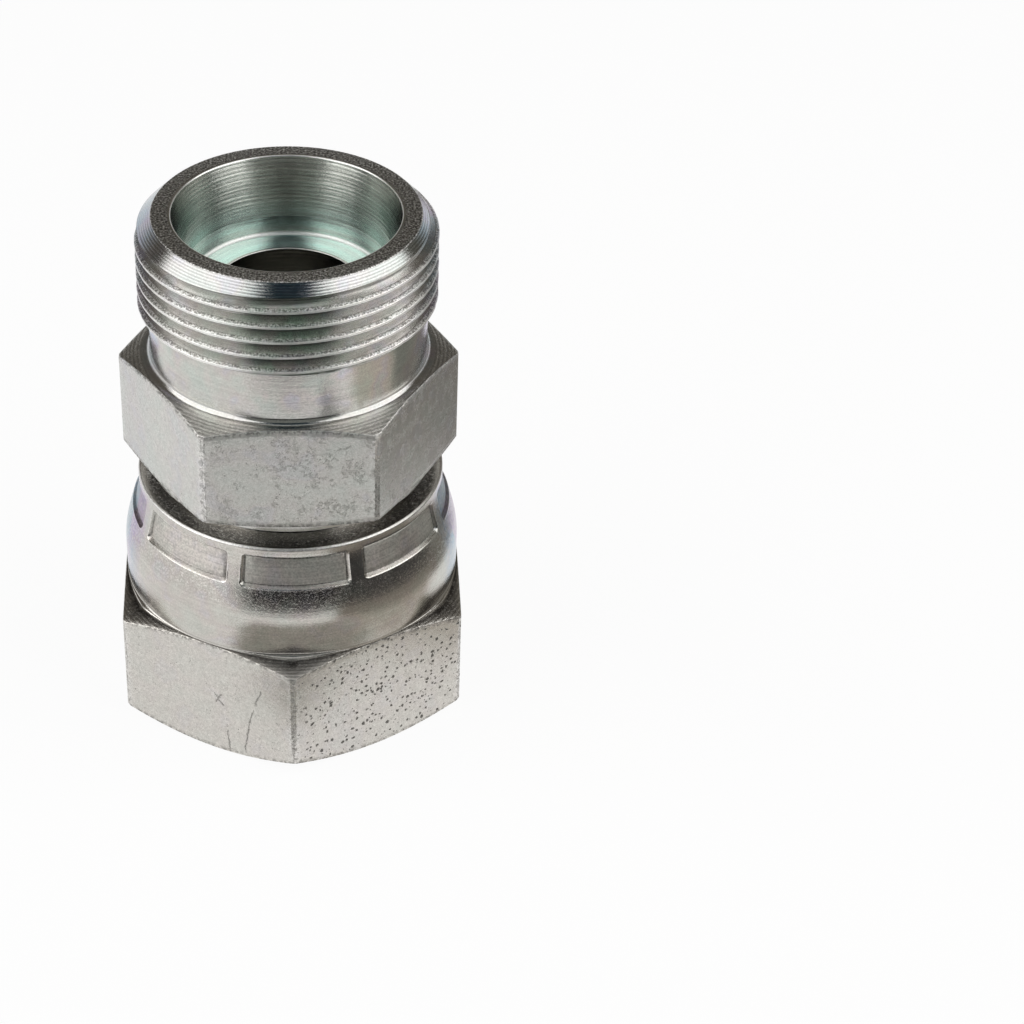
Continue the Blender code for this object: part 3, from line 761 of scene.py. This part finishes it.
body_rows += thread_rows(THREAD_Z, MOUTH_Z - MOUTH_BREAK, THREAD_START_Z, NECK_R, THREAD_R, THREAD_ROOT_FLAT,
                         THREAD_CREST_FLAT)
body_rows += [row(NECK_R, THREAD_Z - 0.1, film=1.0), row(NECK_R, 38.5, film=1.0)]
# The neck's fillet is darkened in its hollow with painted shade.
for step in range(6):
    angle = math.pi + math.pi / 2 * step / 5
    reached, lift = NECK_FILLET * (1 + math.cos(angle)), NECK_FILLET * (1 + math.sin(angle))
    body_rows.append(row(NECK_R + reached, NECK_Z + lift, film=0.3, dirt=0.2 if 0 < step < 3 else 0.0))
body_rows += hexagon_rows(NECK_R + NECK_FILLET, NECK_Z, BODY_CHAMFER, WASHER_R, WASHER_Z, BODY_CHAMFER,
                          BODY_EDGE)
body_rows += rounded([(WASHER_R, WASHER_Z, 0), (WASHER_R, UNDERSIDE_Z, 0.1), (GROOVE_R, UNDERSIDE_Z, 0.3),
                      (GROOVE_R, FLANGE_BACK_Z, 0.2), (FLANGE_R, FLANGE_TOP_Z, 0.2),
                      (FLANGE_R, FLANGE_Z, 0.2), (GROOVE_R, NOSE_ROOT_Z, 0.2),
                      (NOSE_R + (SEAL_SEAT_HIGH_Z - NOSE_Z) * NOSE_SLOPE, SEAL_SEAT_HIGH_Z, 0.1),
                      (SEAL_SEAT_R, SEAL_SEAT_HIGH_Z, 0.15), (SEAL_SEAT_R, SEAL_SEAT_LOW_Z, 0.15),
                      (NOSE_R + (SEAL_SEAT_LOW_Z - NOSE_Z) * NOSE_SLOPE, SEAL_SEAT_LOW_Z, 0.1),
                      (NOSE_R, NOSE_Z, 0.5), (BORE_R, NOSE_Z, 0.35), (BORE_R, 19.0, 0)])
body_plate = zinc_plate("zinc_plate_body", (0.56, 0.555, 0.53), roughness=0.14, mark_depth=0.009,
                        grain_depth=0.009, hexagon_turn=BODY_TURN, film=0.8)
body = unrolled("body_dressed", body_rows, columns_at(240, range(0, 360, 60), (-0.93, 0.0, 0.93)))
rolled_up(body, body_plate, flats_radius=BODY_FLATS_R, corner_break=CORNER_BREAK, hexagon_turn=BODY_TURN,
          pitch=THREAD_PITCH, side=1, low=THREAD_Z, low_radius=NECK_R, low_slope=1.732,
          high=MOUTH_Z - MOUTH_BREAK, high_radius=MOUTH_RIM_R + MOUTH_BREAK, high_slope=1.0, burr=0.15)
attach(body, "fitting")
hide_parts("body")


# Swivel nut: turned from hexagon bar, threaded inside and plated, then its round collar is squeezed in
# behind the body's flange by eight jaws, which leave their marks with a rib standing between each two.
NUT_FLATS_R = 15.8
NUT_THREAD_R = 12.688
NUT_THREAD_TOP_Z = 11.0
NUT_THREAD_LOW_Z = 0.08
NUT_ROOT_FLAT = 0.375
NUT_FACE_R = 15.6
NUT_MOUTH_SLOPE = math.tan(math.radians(30))
NUT_TOP_SLOPE = math.tan(math.radians(20))
NUT_EDGE = 0.06
# Painted shade on the nut's top cone beside the collar.
NUT_CONE_SHADE = 1.6
UNDERCUT_R = 13.65
UNDERCUT_Z = 12.6
PLAIN_BORE_R = 12.588
LIP_SEAT_Z = 19.3
LIP_R = 11.088
LIP_Z = 20.8
COLLAR_R = 15.7
COLLAR_Z = 12.4
RIM_R = 14.2
RIM_Z = 23.4
RIM_ROUND = 0.22
CRIMP_TOP_Z = 22.9
CRIMP_HEIGHT = 7.5
STRAINED_Z = 17.2
JAWS = 8
JAW_TURN = 1.5
RIB_WIDTH = 1.5
JAW_TOP_Z = 22.4
JAW_FOOT_Z = 19.4
JAW_TOP_R = 13.95
JAW_TAPER = math.tan(math.radians(13))


def collar_radius(height):
    """The collar's outside at a height: full at its foot, squeezed in towards the rim."""
    share = min(1.0, max(0.0, (CRIMP_TOP_Z - height) / CRIMP_HEIGHT))
    return RIM_R + (COLLAR_R - RIM_R) * share * share * (3 - 2 * share)


# The lip inside the nut's rim is darkened with painted shade.
nut_rows = rounded([(PLAIN_BORE_R, 16.0, 0), (PLAIN_BORE_R, LIP_SEAT_Z, 0.2), (LIP_R, LIP_Z, 0.15),
                    (LIP_R, RIM_Z - 0.35, 0.2), (LIP_R + 0.5, RIM_Z - 0.29, 0)], grime=0.65, grainy=0.5)
nut_rows += [row(LIP_R + 2.2, RIM_Z - 0.10, grime=0.2, grainy=0.9)]
nut_rows += rounded([(RIM_R - 0.3, RIM_Z - 0.034, 0), (RIM_R, RIM_Z, RIM_ROUND), (RIM_R, RIM_Z - 0.25, 0)],
                    grainy=0.25)
nut_rows += [row(RIM_R, RIM_Z - 0.32, film=0.5)]

# The collar's rows lie close together across the jaws' upper and lower edges.
jaw_steps = (0.42, 0.32, 0.24, 0.17, 0.10, 0.04, -0.03, -0.10, -0.17, -0.26)
collar_heights = {round(JAW_TOP_Z + step, 3) for step in jaw_steps}
collar_heights |= {round(JAW_FOOT_Z - step, 3) for step in jaw_steps}
collar_heights |= {21.9, 21.4, 20.9, 20.4, 19.9}
collar_heights |= {18.7, 18.3, 17.9, 17.5, 17.1, 16.7, 16.3, 15.9, 15.6, 15.4, 14.8, 14.0, 13.3}
for level in sorted(collar_heights, reverse=True):
    pressed = JAW_TOP_R + (JAW_TOP_Z - level) * JAW_TAPER
    near_jaw = JAW_FOOT_Z - 0.45 < level < JAW_TOP_Z + 0.45
    strained = 0.2 if STRAINED_Z < level < JAW_FOOT_Z - 0.15 else 0.05
    nut_rows.append(row(collar_radius(level), level, pressed=pressed, bite=float(near_jaw), film=1.0,
                        grainy=strained))

# The collar's foot runs out into the hexagon in a small fillet and a narrow raised ring.
FOOT_FILLET = 0.35
FOOT_RING = 0.07
CORNER_REACH = NUT_FLATS_R / math.cos(math.pi / 6) - COLLAR_R
nut_rows.append(row(COLLAR_R, COLLAR_Z + 0.5, film=0.5))
bend = math.pi / 2 - math.atan(NUT_TOP_SLOPE)
fillet_reach = FOOT_FILLET * (1 - math.cos(bend))
fillet_drop = FOOT_FILLET * math.sin(bend) - fillet_reach * NUT_TOP_SLOPE
# The collar's foot fillet is darkened in its hollow with painted shade.
for step in range(6):
    angle = bend * step / 5
    reached = FOOT_FILLET * (1 - math.cos(angle))
    lift = fillet_drop - FOOT_FILLET * math.sin(angle) + reached * NUT_TOP_SLOPE + FOOT_RING
    nut_rows.append(row(COLLAR_R, COLLAR_Z + lift, reach=reached / CORNER_REACH, slope=-NUT_TOP_SLOPE,
                        dirt=0.3 if 0 < step < 3 else 0.0))
for reached, lift in ((0.34, FOOT_RING), (0.38, 0.05), (0.42, 0.0)):
    nut_rows.append(row(COLLAR_R, COLLAR_Z + lift, reach=reached / CORNER_REACH, slope=-NUT_TOP_SLOPE,
                        faced=1.0))
nut_rows += hexagon_rows(COLLAR_R, COLLAR_Z, NUT_TOP_SLOPE, NUT_FACE_R, 0.0, NUT_MOUTH_SLOPE, NUT_EDGE,
                         top_shade=NUT_CONE_SHADE)
nut_rows += [row(NUT_FACE_R, 0.0), row(THREAD_R + 0.12, 0.0), row(THREAD_R + 0.04, 0.03, worn=1.0)]

# Inside, the same thread is listed upwards, with painted shade in the nut's own roots and wear with a painted
# highlight on its crests.
inside = thread_rows(NUT_THREAD_LOW_Z, NUT_THREAD_TOP_Z, NUT_ROOT_FLAT + THREAD_PITCH / 2, NUT_THREAD_R,
                     THREAD_R, NUT_ROOT_FLAT, THREAD_CREST_FLAT)
for line in reversed(inside):
    is_root = line["radius"] > THREAD_R - 0.01
    is_crest = line["radius"] < NUT_THREAD_R + 0.05
    nut_rows.append(line | {"worn": 0.8 if is_crest else 0.0, "dirt": 0.9 if is_root else 0.0,
                            "crest": 0.0, "burr": 0.0})
# The undercut above the nut's thread is darkened with painted shade.
nut_rows += rounded([(THREAD_R, NUT_THREAD_TOP_Z, 0), (UNDERCUT_R, NUT_THREAD_TOP_Z + 0.1, 0),
                     (UNDERCUT_R, UNDERCUT_Z, 0.2), (PLAIN_BORE_R, UNDERCUT_Z, 0.1), (PLAIN_BORE_R, 15.0, 0)],
                    dirt=0.3)

# Scratches on the front left flat: a long one in three strokes, a short one, and two that cross.
SCRATCHES = (((-2.96, -16.54, 8.87), (-3.86, -16.02, 5.7)), ((-3.86, -16.02, 5.7), (-4.39, -15.71, 3.0)),
             ((-4.39, -15.71, 3.0), (-4.53, -15.63, 0.9)), ((-6.25, -14.63, 3.4), (-6.06, -14.75, 0.1)),
             ((-7.2, -14.09, 6.6), (-6.5, -14.5, 5.65)), ((-6.7, -14.38, 6.8), (-7.2, -14.09, 5.8)))
nut_plate = zinc_plate("zinc_plate_nut", (0.57, 0.548, 0.512), roughness=0.125, mark_depth=0.009,
                       grain_depth=0.010, hexagon_turn=0.0, film=0.45, pits=1.0, scratches=SCRATCHES)
rib_places = [-90 + JAW_TURN + 22.5 + 45 * number for number in range(JAWS)]
rib_steps = (0.42, 0.52, 0.60, 0.68, 0.76, 0.84, 0.92, 1.0, 1.12)
rib_offsets = [math.degrees(sign * step / RIM_R) for step in rib_steps for sign in (-1, 1)]
nut_angles = columns_at(210, range(30, 390, 60), (-0.79, 0.0, 0.79))
near = math.radians(0.2)
nut_angles = sorted(nut_angles + [angle for angle in columns_at(210, rib_places, rib_offsets)
                                  if all(abs(angle - other) > near for other in nut_angles)])
nut = unrolled("swivel_nut_dressed", nut_rows, nut_angles)
rolled_up(nut, nut_plate, flats_radius=NUT_FLATS_R, corner_break=CORNER_BREAK, hexagon_turn=0,
          pitch=THREAD_PITCH, side=-1, low=NUT_THREAD_LOW_Z, low_radius=THREAD_R, low_slope=1.0,
          high=NUT_THREAD_TOP_Z, high_radius=THREAD_R, high_slope=1.5, jaws=JAWS,
          jaw_turn=math.radians(-90 + JAW_TURN), rib_width=RIB_WIDTH, jaw_middle=(JAW_TOP_Z + JAW_FOOT_Z) / 2,
          jaw_height=JAW_TOP_Z - JAW_FOOT_Z, jaw_corner=0.35, jaw_wall=0.18, jaw_score=0.09, jaw_wear=0.2)
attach(nut, "nut")
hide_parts("swivel_nut")


# Seal: a moulded black rubber ring, stretched into the groove in the nose. The mould leaves a fine line of
# flash round its inside and outside.
SEAL_R = 9.386
SEAL_Z = 9.2
SEAL_HALF = 1.0
FLASH = 0.03
BLOOM_DARK = (0.012, 0.012, 0.013, 1)
BLOOM_PALE = (0.035, 0.034, 0.033, 1)
seal_rows = []
for step in range(24):
    angle = math.radians(90 - 15 * step)
    flash = FLASH if step in (6, 18) else 0.0
    seal_rows.append(row(SEAL_R + (SEAL_HALF - FLASH + flash) * math.cos(angle),
                         SEAL_Z + SEAL_HALF * math.sin(angle)))
rubber = bpy.data.materials.new("black_rubber")
rubber.use_nodes = True
tree = rubber.node_tree
shader = tree.nodes["Principled BSDF"]
here = add_node(tree, "ShaderNodeTexCoord").outputs["Object"]
bloom = add_node(tree, "ShaderNodeTexNoise", {"Vector": here, "Scale": 900.0, "Detail": 3.0}).outputs["Fac"]
tree.links.new(blended(tree, bloom, BLOOM_DARK, BLOOM_PALE), shader.inputs["Base Color"])
dust = add_node(tree, "ShaderNodeMapRange", {"Value": bloom, "To Min": 0.42, "To Max": 0.62})
tree.links.new(dust.outputs[0], shader.inputs["Roughness"])
skin = add_node(tree, "ShaderNodeBump", {"Strength": 0.3, "Distance": 0.01 * MM, "Height": bloom})
tree.links.new(skin.outputs[0], shader.inputs["Normal"])
seal = unrolled("o_ring_dressed", seal_rows, columns_at(144))
rolled_up(seal, rubber, side=1)
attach(seal, "fitting")
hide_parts("o_ring")
